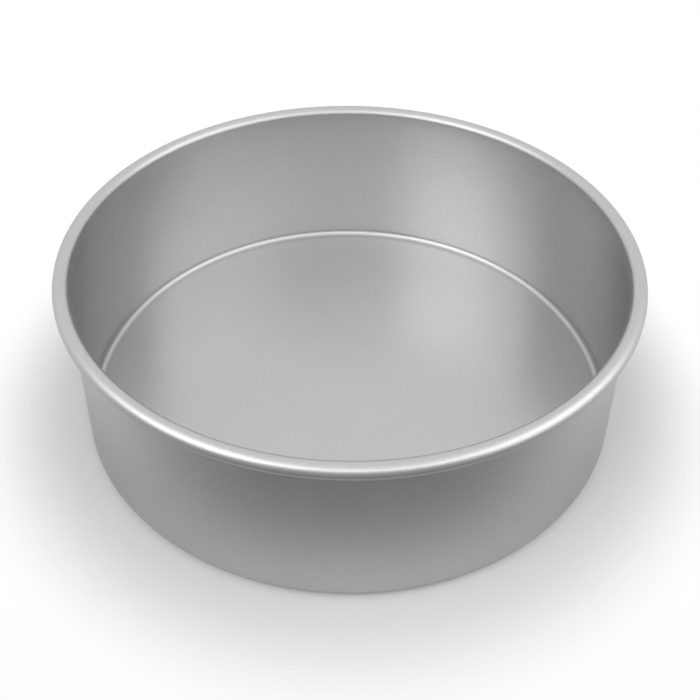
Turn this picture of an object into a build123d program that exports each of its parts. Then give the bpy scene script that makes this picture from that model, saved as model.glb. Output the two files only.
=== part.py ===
from build123d import *
import math
import os

# Round cake tin, 9 inches across and 3 inches deep.
# Millimetres, +Z up. The origin is the middle of the underside, on the surface that the tin stands on.

# Driving dimensions of the sheet metal
inside_diameter = 228.6
overall_height = 76.2
sheet_thickness = 1.0
corner_inner_radius = 3.0
lip_gap = 0.3
lip_edge_radius = 0.2

# Driving dimensions of the wire in the rim
wire_diameter = 4.0
wire_clearance = 0.25
wire_end_gap = 1.5

# Wall and corner
wall_inner_radius = inside_diameter / 2
wall_outer_radius = wall_inner_radius + sheet_thickness
corner_outer_radius = corner_inner_radius + sheet_thickness
corner_centre_radius = wall_inner_radius - corner_inner_radius

# The curl is closed around the wire. Its circle is tangent to the wall, so the inner wall runs
# straight up into the bead and the whole bead stands out beyond the wall.
curl_inner_radius = wire_diameter / 2 + wire_clearance
curl_outer_radius = curl_inner_radius + sheet_thickness
curl_centre_radius = wall_inner_radius + curl_outer_radius
curl_centre_height = overall_height - curl_outer_radius
curl_centre = (curl_centre_radius, curl_centre_height)

# The sheet rolls over the top, round the outside and back under, until the cut edge of its lip
# is one lip gap away from the wall.
lip_angle = math.degrees(math.acos((curl_inner_radius - lip_gap) / curl_outer_radius))
curl_sweep = 360 - lip_angle

# Both sections are drawn at the back of the tin and turned about its middle
section_plane = Plane.YZ

# Shell: base, corner, wall and curl are one sheet
with BuildPart() as pan_shell:
    with BuildSketch(section_plane) as shell_section:
        with BuildLine() as shell_outline:
            underside = Line((0, 0), (corner_centre_radius, 0))
            corner_outside = JernArc(underside @ 1, underside % 1, corner_outer_radius, 90)
            wall_outside = Line(corner_outside @ 1, (wall_outer_radius, curl_centre_height))
            curl_inside = JernArc(wall_outside @ 1, wall_outside % 1, curl_inner_radius, -curl_sweep)
            base_inside = Line((0, sheet_thickness), (corner_centre_radius, sheet_thickness))
            corner_inside = JernArc(base_inside @ 1, base_inside % 1, corner_inner_radius, 90)
            wall_inside = Line(corner_inside @ 1, (wall_inner_radius, curl_centre_height))
            curl_outside = JernArc(wall_inside @ 1, wall_inside % 1, curl_outer_radius, -curl_sweep)
            lip_end = Line(curl_inside @ 1, curl_outside @ 1)
            Line(underside @ 0, base_inside @ 0)
        make_face()
        lip_corners = shell_section.vertices().sort_by_distance(lip_end @ 0.5)[:2]
        fillet(lip_corners, radius=lip_edge_radius)
    revolve(axis=Axis.Z)
pan_shell.part.label = "pan_shell"

# Wire: a round wire bent into a ring inside the curl, its two cut ends facing each other
# across a small gap at the back of the tin
wire_gap_angle = math.degrees(wire_end_gap / curl_centre_radius)

with BuildPart() as rim_wire:
    with BuildSketch(section_plane) as wire_section:
        with Locations(curl_centre):
            Circle(wire_diameter / 2)
    revolve(axis=Axis.Z, revolution_arc=360 - wire_gap_angle)
rim_wire.part.label = "rim_wire"

os.makedirs("parts", exist_ok=True)
export_step(pan_shell.part, "parts/pan_shell.step")
export_step(rim_wire.part, "parts/rim_wire.step")

print(f"rim outside diameter {2 * (curl_centre_radius + curl_outer_radius):.2f} mm")
print(f"bead diameter {2 * curl_outer_radius:.2f} mm")
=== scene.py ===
import math

import bpy
from mathutils import Matrix, Vector


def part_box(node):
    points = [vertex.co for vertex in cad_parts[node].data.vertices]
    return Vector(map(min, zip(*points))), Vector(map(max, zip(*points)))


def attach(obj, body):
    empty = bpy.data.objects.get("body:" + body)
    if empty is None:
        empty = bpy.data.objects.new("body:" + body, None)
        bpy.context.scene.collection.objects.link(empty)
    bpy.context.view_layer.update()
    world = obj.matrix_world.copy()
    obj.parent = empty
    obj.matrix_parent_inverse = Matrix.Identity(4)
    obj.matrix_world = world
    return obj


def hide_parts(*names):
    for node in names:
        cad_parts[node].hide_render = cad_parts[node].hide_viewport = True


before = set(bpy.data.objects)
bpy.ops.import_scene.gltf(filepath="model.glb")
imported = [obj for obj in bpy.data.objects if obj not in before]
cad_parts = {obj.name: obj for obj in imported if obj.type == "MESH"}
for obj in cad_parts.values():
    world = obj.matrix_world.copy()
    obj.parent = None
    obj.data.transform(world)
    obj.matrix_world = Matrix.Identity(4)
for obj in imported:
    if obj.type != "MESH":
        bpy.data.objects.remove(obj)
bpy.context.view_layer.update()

# Camera
# It looks at the round cake tin from the front and above, aimed at the middle of the rim's height, through
# a lens a little longer than a normal one. The small shift, dip and roll place the tin where the
# photograph has it.
wire_low, wire_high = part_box("rim_wire")
rim_height = (wire_low.z + wire_high.z) / 2
image_size = 700
camera_elevation = math.radians(37.28)
camera_distance = 0.4591
camera_dip = math.radians(1.255)
camera_roll = math.radians(0.573)
sensor_width = 36.0
lens_pixels = 1108.2
shift_pixels = -70
nearest_seen = 0.01

camera_data = bpy.data.cameras.new("camera")
camera_data.sensor_width = sensor_width
camera_data.lens = lens_pixels / image_size * sensor_width
camera_data.shift_y = shift_pixels / image_size
camera_data.clip_start = nearest_seen
camera = bpy.data.objects.new("camera", camera_data)
bpy.context.scene.collection.objects.link(camera)
camera_offset = Vector((0, -math.cos(camera_elevation), math.sin(camera_elevation))) * camera_distance
looking_down = Matrix.Rotation(math.pi / 2 - camera_elevation - camera_dip, 4, "X")
camera_place = Matrix.Translation(Vector((0, 0, rim_height)) + camera_offset)
camera.matrix_world = camera_place @ looking_down @ Matrix.Rotation(camera_roll, 4, "Z")
bpy.context.scene.camera = camera

# Shell
# One disc of aluminium sheet, drawn and spun into a flat base, a small round corner and a straight wall.
# Its top edge is rolled outward, over the top and back under, until the cut lip nearly meets the wall.
# The shape follows one rule, its section turned about the middle, so Geometry Nodes turn it.
shell_low, shell_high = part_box("pan_shell")
sheet_thickness = 0.001
corner_inner_radius = 0.003
lip_gap = 0.0003
lip_edge_radius = 0.0002
lip_edge_steps = 3
sharp_edge_angle = math.radians(60)
wire_clearance = 0.00025
wire_radius = (wire_high.z - wire_low.z) / 2
curl_inner_radius = wire_radius + wire_clearance
curl_outer_radius = curl_inner_radius + sheet_thickness
inside_radius = shell_high.x - 2 * curl_outer_radius

# The curl stops this far short of a full turn, where its lip is one lip gap away from the wall
lip_angle = math.acos((curl_inner_radius - lip_gap) / curl_outer_radius)


def add_node(tree, kind, inputs=(), **settings):
    """A node with its settings, whose inputs are either values or the sockets that they come from."""
    node = tree.nodes.new(kind)
    for name, value in settings.items():
        setattr(node, name, value)
    for name, value in dict(inputs).items():
        if isinstance(value, bpy.types.NodeSocket):
            tree.links.new(value, node.inputs[name])
        else:
            node.inputs[name].default_value = value
    return node


def spun_section_tree():
    """The middle of the sheet, turned about Z. X is measured outward from the wall and Y up. Curve to Mesh
    lays Y downward, so what it makes is then turned over."""
    quarter_turn = math.pi / 2
    half_turn = math.pi
    tree = bpy.data.node_groups.new("spun_section", "GeometryNodeTree")
    tree.interface.new_socket("Geometry", in_out="OUTPUT", socket_type="NodeSocketGeometry")
    for name in ("Wall Radius", "Base Height", "Corner Radius", "Curl Height", "Curl Radius", "Curl Sweep"):
        tree.interface.new_socket(name, in_out="INPUT", socket_type="NodeSocketFloat")
    for name in ("Steps Around", "Steps In A Run", "Steps In The Corner", "Steps In The Curl"):
        tree.interface.new_socket(name, in_out="INPUT", socket_type="NodeSocketInt")
    tree.interface.new_socket("Merge Distance", in_out="INPUT", socket_type="NodeSocketFloat")
    tree.interface.new_socket("Material", in_out="INPUT", socket_type="NodeSocketMaterial")
    size = tree.nodes.new("NodeGroupInput").outputs

    def straight(start, end):
        """A straight run of the section, from one place on it to another."""
        ends = {}
        for name, (x, y) in (("Start", start), ("End", end)):
            ends[name] = add_node(tree, "ShaderNodeCombineXYZ", {"X": x, "Y": y}).outputs[0]
        line = add_node(tree, "GeometryNodeCurvePrimitiveLine", ends).outputs[0]
        stepped = {"Curve": line, "Count": size["Steps In A Run"]}
        return add_node(tree, "GeometryNodeResampleCurve", stepped).outputs[0]

    def bend(x, y, radius, start, sweep, steps):
        """A round run of the section, about one place on it."""
        turn = {"Radius": radius, "Start Angle": start, "Sweep Angle": sweep, "Resolution": steps}
        arc = add_node(tree, "GeometryNodeCurveArc", turn).outputs[0]
        centre = add_node(tree, "ShaderNodeCombineXYZ", {"X": x, "Y": y}).outputs[0]
        return add_node(tree, "GeometryNodeTransform", {"Geometry": arc, "Translation": centre}).outputs[0]

    base_height = size["Base Height"]
    corner_radius = size["Corner Radius"]
    curl_height = size["Curl Height"]
    curl_radius = size["Curl Radius"]
    inward_to_the_middle = {0: size["Wall Radius"], 1: -1.0}
    middle_x = add_node(tree, "ShaderNodeMath", inward_to_the_middle, operation="MULTIPLY").outputs[0]
    inward_to_the_corner = {0: corner_radius, 1: -1.0}
    corner_x = add_node(tree, "ShaderNodeMath", inward_to_the_corner, operation="MULTIPLY").outputs[0]
    up_from_the_base = {0: base_height, 1: corner_radius}
    corner_y = add_node(tree, "ShaderNodeMath", up_from_the_base, operation="ADD").outputs[0]
    clockwise = {0: size["Curl Sweep"], 1: -1.0}
    sweep_back = add_node(tree, "ShaderNodeMath", clockwise, operation="MULTIPLY").outputs[0]
    runs = (
        straight((middle_x, base_height), (corner_x, base_height)),
        bend(corner_x, corner_y, corner_radius, -quarter_turn, quarter_turn, size["Steps In The Corner"]),
        straight((0.0, corner_y), (0.0, curl_height)),
        bend(curl_radius, curl_height, curl_radius, half_turn, sweep_back, size["Steps In The Curl"]),
    )
    section = add_node(tree, "GeometryNodeJoinGeometry")
    for run in runs:
        tree.links.new(run, section.inputs[0])
    turn = {"Radius": size["Wall Radius"], "Resolution": size["Steps Around"]}
    circle = add_node(tree, "GeometryNodeCurvePrimitiveCircle", turn).outputs[0]
    path = add_node(tree, "GeometryNodeSetCurveNormal", {"Curve": circle}, mode="Z_UP").outputs[0]
    swept = {"Curve": path, "Profile Curve": section.outputs[0]}
    turned = add_node(tree, "GeometryNodeCurveToMesh", swept).outputs[0]
    turned_over = {"Geometry": turned, "Rotation": (half_turn, 0, 0)}
    upright = add_node(tree, "GeometryNodeTransform", turned_over).outputs[0]
    joined = {"Geometry": upright, "Distance": size["Merge Distance"]}
    closed = add_node(tree, "GeometryNodeMergeByDistance", joined).outputs[0]
    real = add_node(tree, "GeometryNodeRealizeInstances", {"Geometry": closed}).outputs[0]
    finished = {"Geometry": real, "Material": size["Material"]}
    dressed = add_node(tree, "GeometryNodeSetMaterial", finished).outputs[0]
    add_node(tree, "NodeGroupOutput", {"Geometry": dressed})
    return tree


# The sockets that hold a Mix node's two colours, and the one that gives their mixture
first_colour = 6
second_colour = 7
mixed_colour = 2


def linear(hex_colour):
    """An sRGB colour such as "#C0C0C0" as the linear colour that a node holds."""
    shares = [int(hex_colour[place:place + 2], 16) / 255 for place in (1, 3, 5)]
    return [s / 12.92 if s <= 0.04045 else ((s + 0.055) / 1.055) ** 2.4 for s in shares] + [1.0]


def turned_place(tree):
    """A point's place, and its place on the turned section: how far it is from the middle and how high.
    A pattern on the second goes round the tin in rings."""
    place = add_node(tree, "ShaderNodeTexCoord").outputs["Object"]
    parts = add_node(tree, "ShaderNodeSeparateXYZ", {0: place}).outputs
    flat_place = add_node(tree, "ShaderNodeCombineXYZ", {"X": parts["X"], "Y": parts["Y"]}).outputs[0]
    from_middle = add_node(tree, "ShaderNodeVectorMath", {0: flat_place}, operation="LENGTH")
    on_section = {"X": from_middle.outputs["Value"], "Y": parts["Z"]}
    return place, add_node(tree, "ShaderNodeCombineXYZ", on_section).outputs[0]


def satin_aluminium():
    """Aluminium sheet, spun, etched and clear anodised. The etch gives it a soft satin sheen with no
    mirror in it, and the spinning leaves rings, which draw each highlight out across them. Grain and
    rings are drawn coarser than the real ones, so that they just show. The rim and the corner are more
    matt, because sheet that is bent so tightly roughens."""
    ring_spacing = 0.0012
    grain_size = 0.0011
    cloud_size = 0.035
    relief_depth = 0.000004
    glossiest = 0.31
    dullest = 0.36
    bend_roughness = 0.07
    bend_starts_over = 0.001
    sheen_stretch = 0.35
    across_the_rings = 0.25

    # How much of the texture is grain and not rings, and how much of the tone is texture and not clouds
    grain_share = 0.8
    texture_share = 0.75

    material = bpy.data.materials.new("spun_satin_aluminium")
    material.use_nodes = True
    tree = material.node_tree
    surface = tree.nodes["Principled BSDF"]
    place, on_section = turned_place(tree)
    ring_pattern = {"Vector": on_section, "Scale": 1 / ring_spacing, "Detail": 2.0}
    rings = add_node(tree, "ShaderNodeTexNoise", ring_pattern).outputs[0]
    grain_pattern = {"Vector": place, "Scale": 1 / grain_size, "Detail": 2.0}
    grain = add_node(tree, "ShaderNodeTexNoise", grain_pattern).outputs[0]
    cloud_pattern = {"Vector": place, "Scale": 1 / cloud_size, "Detail": 3.0}
    cloud = add_node(tree, "ShaderNodeTexNoise", cloud_pattern).outputs[0]
    texture = add_node(tree, "ShaderNodeMix", {"Factor": grain_share, "A": rings, "B": grain}).outputs[0]
    tone = add_node(tree, "ShaderNodeMix", {"Factor": texture_share, "A": cloud, "B": texture}).outputs[0]
    shades = {"Factor": tone, first_colour: linear("#B8B8B8"), second_colour: linear("#CFCFCF")}
    colour = add_node(tree, "ShaderNodeMix", shades, data_type="RGBA").outputs[mixed_colour]
    gloss = {"Value": cloud, "To Min": glossiest, "To Max": dullest}
    flat_sheet = add_node(tree, "ShaderNodeMapRange", gloss).outputs[0]

    rim_starts = rim_height - curl_outer_radius
    corner_starts = inside_radius - corner_inner_radius
    corner_top = shell_low.z + sheet_thickness + corner_inner_radius
    section = add_node(tree, "ShaderNodeSeparateXYZ", {0: on_section}).outputs
    bends = (
        {"Value": section["Y"], "From Min": rim_starts, "From Max": rim_starts + bend_starts_over},
        {"Value": section["X"], "From Min": corner_starts, "From Max": corner_starts + bend_starts_over},
        {"Value": section["Y"], "From Min": corner_top, "From Max": corner_top - bend_starts_over},
    )
    in_rim, near_wall, near_base = [add_node(tree, "ShaderNodeMapRange", ramp).outputs[0] for ramp in bends]
    both = {0: near_wall, 1: near_base}
    in_corner = add_node(tree, "ShaderNodeMath", both, operation="MULTIPLY").outputs[0]
    bent = add_node(tree, "ShaderNodeMath", {0: in_rim, 1: in_corner}, operation="MAXIMUM").outputs[0]
    roughened = {0: bent, 1: bend_roughness, 2: flat_sheet}
    roughness = add_node(tree, "ShaderNodeMath", roughened, operation="MULTIPLY_ADD").outputs[0]
    bump = add_node(tree, "ShaderNodeBump", {"Height": texture, "Distance": relief_depth}).outputs[0]
    round_the_axis = add_node(tree, "ShaderNodeTangent", direction_type="RADIAL", axis="Z").outputs[0]
    tree.links.new(colour, surface.inputs["Base Color"])
    tree.links.new(roughness, surface.inputs["Roughness"])
    tree.links.new(bump, surface.inputs["Normal"])
    tree.links.new(round_the_axis, surface.inputs["Tangent"])
    surface.inputs["Metallic"].default_value = 1.0
    surface.inputs["Specular Tint"].default_value = linear("#E7E7E7")
    surface.inputs["Anisotropic"].default_value = sheen_stretch
    surface.inputs["Anisotropic Rotation"].default_value = across_the_rings
    return material


shell_sizes = {
    "Wall Radius": inside_radius + sheet_thickness / 2,
    "Base Height": shell_low.z + sheet_thickness / 2,
    "Corner Radius": corner_inner_radius + sheet_thickness / 2,
    "Curl Height": rim_height,
    "Curl Radius": curl_inner_radius + sheet_thickness / 2,
    "Curl Sweep": 2 * math.pi - lip_angle,
    "Steps Around": 288,
    "Steps In A Run": 10,
    "Steps In The Corner": 20,
    "Steps In The Curl": 60,
    "Merge Distance": 0.00001,
    "Material": satin_aluminium(),
}

section_tree = spun_section_tree()
pan_shell = bpy.data.objects.new("cake_tin_shell", bpy.data.meshes.new("cake_tin_shell"))
bpy.context.scene.collection.objects.link(pan_shell)
turning = pan_shell.modifiers.new("turning", "NODES")
turning.node_group = section_tree
for socket in section_tree.interface.items_tree:
    if socket.in_out == "INPUT":
        turning[socket.identifier] = shell_sizes[socket.name]
sheet = pan_shell.modifiers.new("sheet", "SOLIDIFY")
sheet.thickness = sheet_thickness
sheet.offset = 0
sheet.use_even_offset = True
deburring = pan_shell.modifiers.new("deburring", "BEVEL")
deburring.width = lip_edge_radius
deburring.segments = lip_edge_steps
deburring.limit_method = "ANGLE"
deburring.angle_limit = sharp_edge_angle
evaluated = pan_shell.evaluated_get(bpy.context.evaluated_depsgraph_get())
pan_shell_mesh = bpy.data.meshes.new_from_object(evaluated)
pan_shell.modifiers.clear()
pan_shell.data = pan_shell_mesh
pan_shell_mesh.shade_smooth()
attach(pan_shell, "root")
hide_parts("pan_shell")


# Rim wire
# A round galvanised steel wire, bent into a ring and shut inside the rolled rim, which it stiffens. It
# shows only through the narrow gap under the lip, so the solid keeps its place and gets its finish.
def galvanised_wire():
    """Drawn steel wire with a thin coat of zinc: pale grey, with fine lines along the wire and small
    duller patches where the zinc has weathered."""
    patch_size = 0.004
    line_spacing = 0.0003
    line_depth = 0.000004
    dullest = 0.5
    glossiest = 0.35
    material = bpy.data.materials.new("galvanised_wire")
    material.use_nodes = True
    tree = material.node_tree
    surface = tree.nodes["Principled BSDF"]
    place, on_section = turned_place(tree)
    line_pattern = {"Vector": on_section, "Scale": 1 / line_spacing}
    lines = add_node(tree, "ShaderNodeTexNoise", line_pattern).outputs[0]
    patch_pattern = {"Vector": place, "Scale": 1 / patch_size, "Detail": 3.0}
    patches = add_node(tree, "ShaderNodeTexNoise", patch_pattern).outputs[0]
    shades = {"Factor": patches, first_colour: linear("#A9AAAC"), second_colour: linear("#C3C4C6")}
    colour = add_node(tree, "ShaderNodeMix", shades, data_type="RGBA").outputs[mixed_colour]
    gloss = {"Value": patches, "To Min": dullest, "To Max": glossiest}
    roughness = add_node(tree, "ShaderNodeMapRange", gloss).outputs[0]
    bump = add_node(tree, "ShaderNodeBump", {"Height": lines, "Distance": line_depth}).outputs[0]
    tree.links.new(colour, surface.inputs["Base Color"])
    tree.links.new(roughness, surface.inputs["Roughness"])
    tree.links.new(bump, surface.inputs["Normal"])
    surface.inputs["Metallic"].default_value = 1.0
    return material


rim_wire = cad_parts["rim_wire"]
rim_wire.data.materials.clear()
rim_wire.data.materials.append(galvanised_wire())


# Floor
# The tin stands on a round of pale matt board, which isn't part of it. The board lies a hair below the
# foot, so that the two don't share one plane. It keeps the tin's shadow, and its edge fades into the
# white of the studio.
def pale_board():
    """Matt white board with no gloss. It is solid under the tin and clear at its edge."""
    solid_short_of_rim = 0.003
    clear_beyond_rim = 0.050
    material = bpy.data.materials.new("pale_board")
    material.use_nodes = True
    tree = material.node_tree
    surface = tree.nodes["Principled BSDF"]
    place = add_node(tree, "ShaderNodeTexCoord").outputs["Object"]
    from_middle = add_node(tree, "ShaderNodeVectorMath", {0: place}, operation="LENGTH")
    fade = {
        "Value": from_middle.outputs["Value"],
        "From Min": shell_high.x - solid_short_of_rim,
        "From Max": shell_high.x + clear_beyond_rim,
        "To Min": 1.0,
        "To Max": 0.0,
    }
    cover = add_node(tree, "ShaderNodeMapRange", fade, interpolation_type="SMOOTHSTEP").outputs[0]
    tree.links.new(cover, surface.inputs["Alpha"])
    surface.inputs["Base Color"].default_value = linear("#DADADA")
    surface.inputs["Roughness"].default_value = 1.0
    surface.inputs["Specular IOR Level"].default_value = 0.0
    return material


floor_half_width = 0.25
floor_gap = 0.0001
floor_height = shell_low.z - floor_gap
corners = [(-1, -1), (1, -1), (1, 1), (-1, 1)]
floor_mesh = bpy.data.meshes.new("floor")
floor_points = [(x * floor_half_width, y * floor_half_width, floor_height) for x, y in corners]
floor_mesh.from_pydata(floor_points, [], [(0, 1, 2, 3)])
floor_mesh.materials.append(pale_board())
floor = bpy.data.objects.new("floor", floor_mesh)
bpy.context.scene.collection.objects.link(floor)

# Light
# A white studio, which the camera and the metal see at a strength of 1 and which lights matt things more
# weakly. In front, where the camera stands, it is in shade, deeper far below, and the tin's wall mirrors
# that. A soft box stands on each side in front, and a strip box between them.
room_light = 0.6
front_shade = 0.63
deeper_shade = 0.17

# Where each shade begins and is full, on a direction of length 1 whose Y points to the back and Z up
front_begins_y = 0.62
front_full_y = -0.65
front_begins_z = 0.60
front_full_z = 0.44
deeper_begins_z = -0.40
deeper_full_z = -0.70

world = bpy.data.worlds.new("studio")
world.use_nodes = True
bpy.context.scene.world = world
room = world.node_tree
rays = add_node(room, "ShaderNodeLightPath").outputs
seen_or_mirrored = {0: rays["Is Camera Ray"], 1: rays["Is Glossy Ray"]}
seen = add_node(room, "ShaderNodeMath", seen_or_mirrored, operation="MAXIMUM").outputs[0]
seen_through = {0: seen, 1: rays["Is Transmission Ray"]}
shown = add_node(room, "ShaderNodeMath", seen_through, operation="MAXIMUM").outputs[0]
levels = {"Value": shown, "To Min": room_light, "To Max": 1.0}
white = add_node(room, "ShaderNodeMapRange", levels).outputs[0]
direction = add_node(room, "ShaderNodeTexCoord").outputs["Generated"]
ways = add_node(room, "ShaderNodeSeparateXYZ", {0: direction}).outputs
shade_ramps = (
    {"Value": ways["Y"], "From Min": front_begins_y, "From Max": front_full_y},
    {"Value": ways["Z"], "From Min": front_begins_z, "From Max": front_full_z, "To Max": front_shade},
    {"Value": ways["Z"], "From Min": deeper_begins_z, "From Max": deeper_full_z, "To Max": deeper_shade},
)
front, shaded, deeper = [
    add_node(room, "ShaderNodeMapRange", ramp, interpolation_type="SMOOTHSTEP").outputs[0]
    for ramp in shade_ramps
]
depth = add_node(room, "ShaderNodeMath", {0: shaded, 1: deeper}, operation="ADD").outputs[0]
shade = add_node(room, "ShaderNodeMath", {0: front, 1: depth}, operation="MULTIPLY").outputs[0]
light_left = add_node(room, "ShaderNodeMath", {0: 1.0, 1: shade}, operation="SUBTRACT").outputs[0]
strength = add_node(room, "ShaderNodeMath", {0: white, 1: light_left}, operation="MULTIPLY").outputs[0]
background = room.nodes["Background"]
background.inputs["Color"].default_value = linear("#FFFFFF")
room.links.new(strength, background.inputs["Strength"])


def soft_box(name, azimuth, elevation, width, height, brightness):
    """A rectangular lamp that faces the tin from that side, as bright as a white of that strength."""
    distance = 1.2
    lamp = bpy.data.lights.new(name, "AREA")
    lamp.shape = "RECTANGLE"
    lamp.size = width
    lamp.size_y = height
    lamp.energy = brightness * math.pi * width * height
    box = bpy.data.objects.new(name, lamp)
    bpy.context.scene.collection.objects.link(box)
    side = math.radians(azimuth)
    rise = math.radians(elevation)
    level = math.cos(rise)
    towards = Vector((level * math.sin(side), -level * math.cos(side), math.sin(rise)))
    facing = towards.to_track_quat("Z", "Y").to_matrix().to_4x4()
    box.matrix_world = Matrix.Translation(towards * distance) @ facing
    box.visible_camera = False


soft_box("soft_box_right", azimuth=71, elevation=32, width=1.27, height=1.09, brightness=1.30)
soft_box("soft_box_left", azimuth=-61, elevation=40, width=1.17, height=0.80, brightness=1.28)
soft_box("strip_box_front", azimuth=-16, elevation=44, width=2.20, height=0.40, brightness=1.50)

bpy.context.scene.view_settings.view_transform = "Standard"
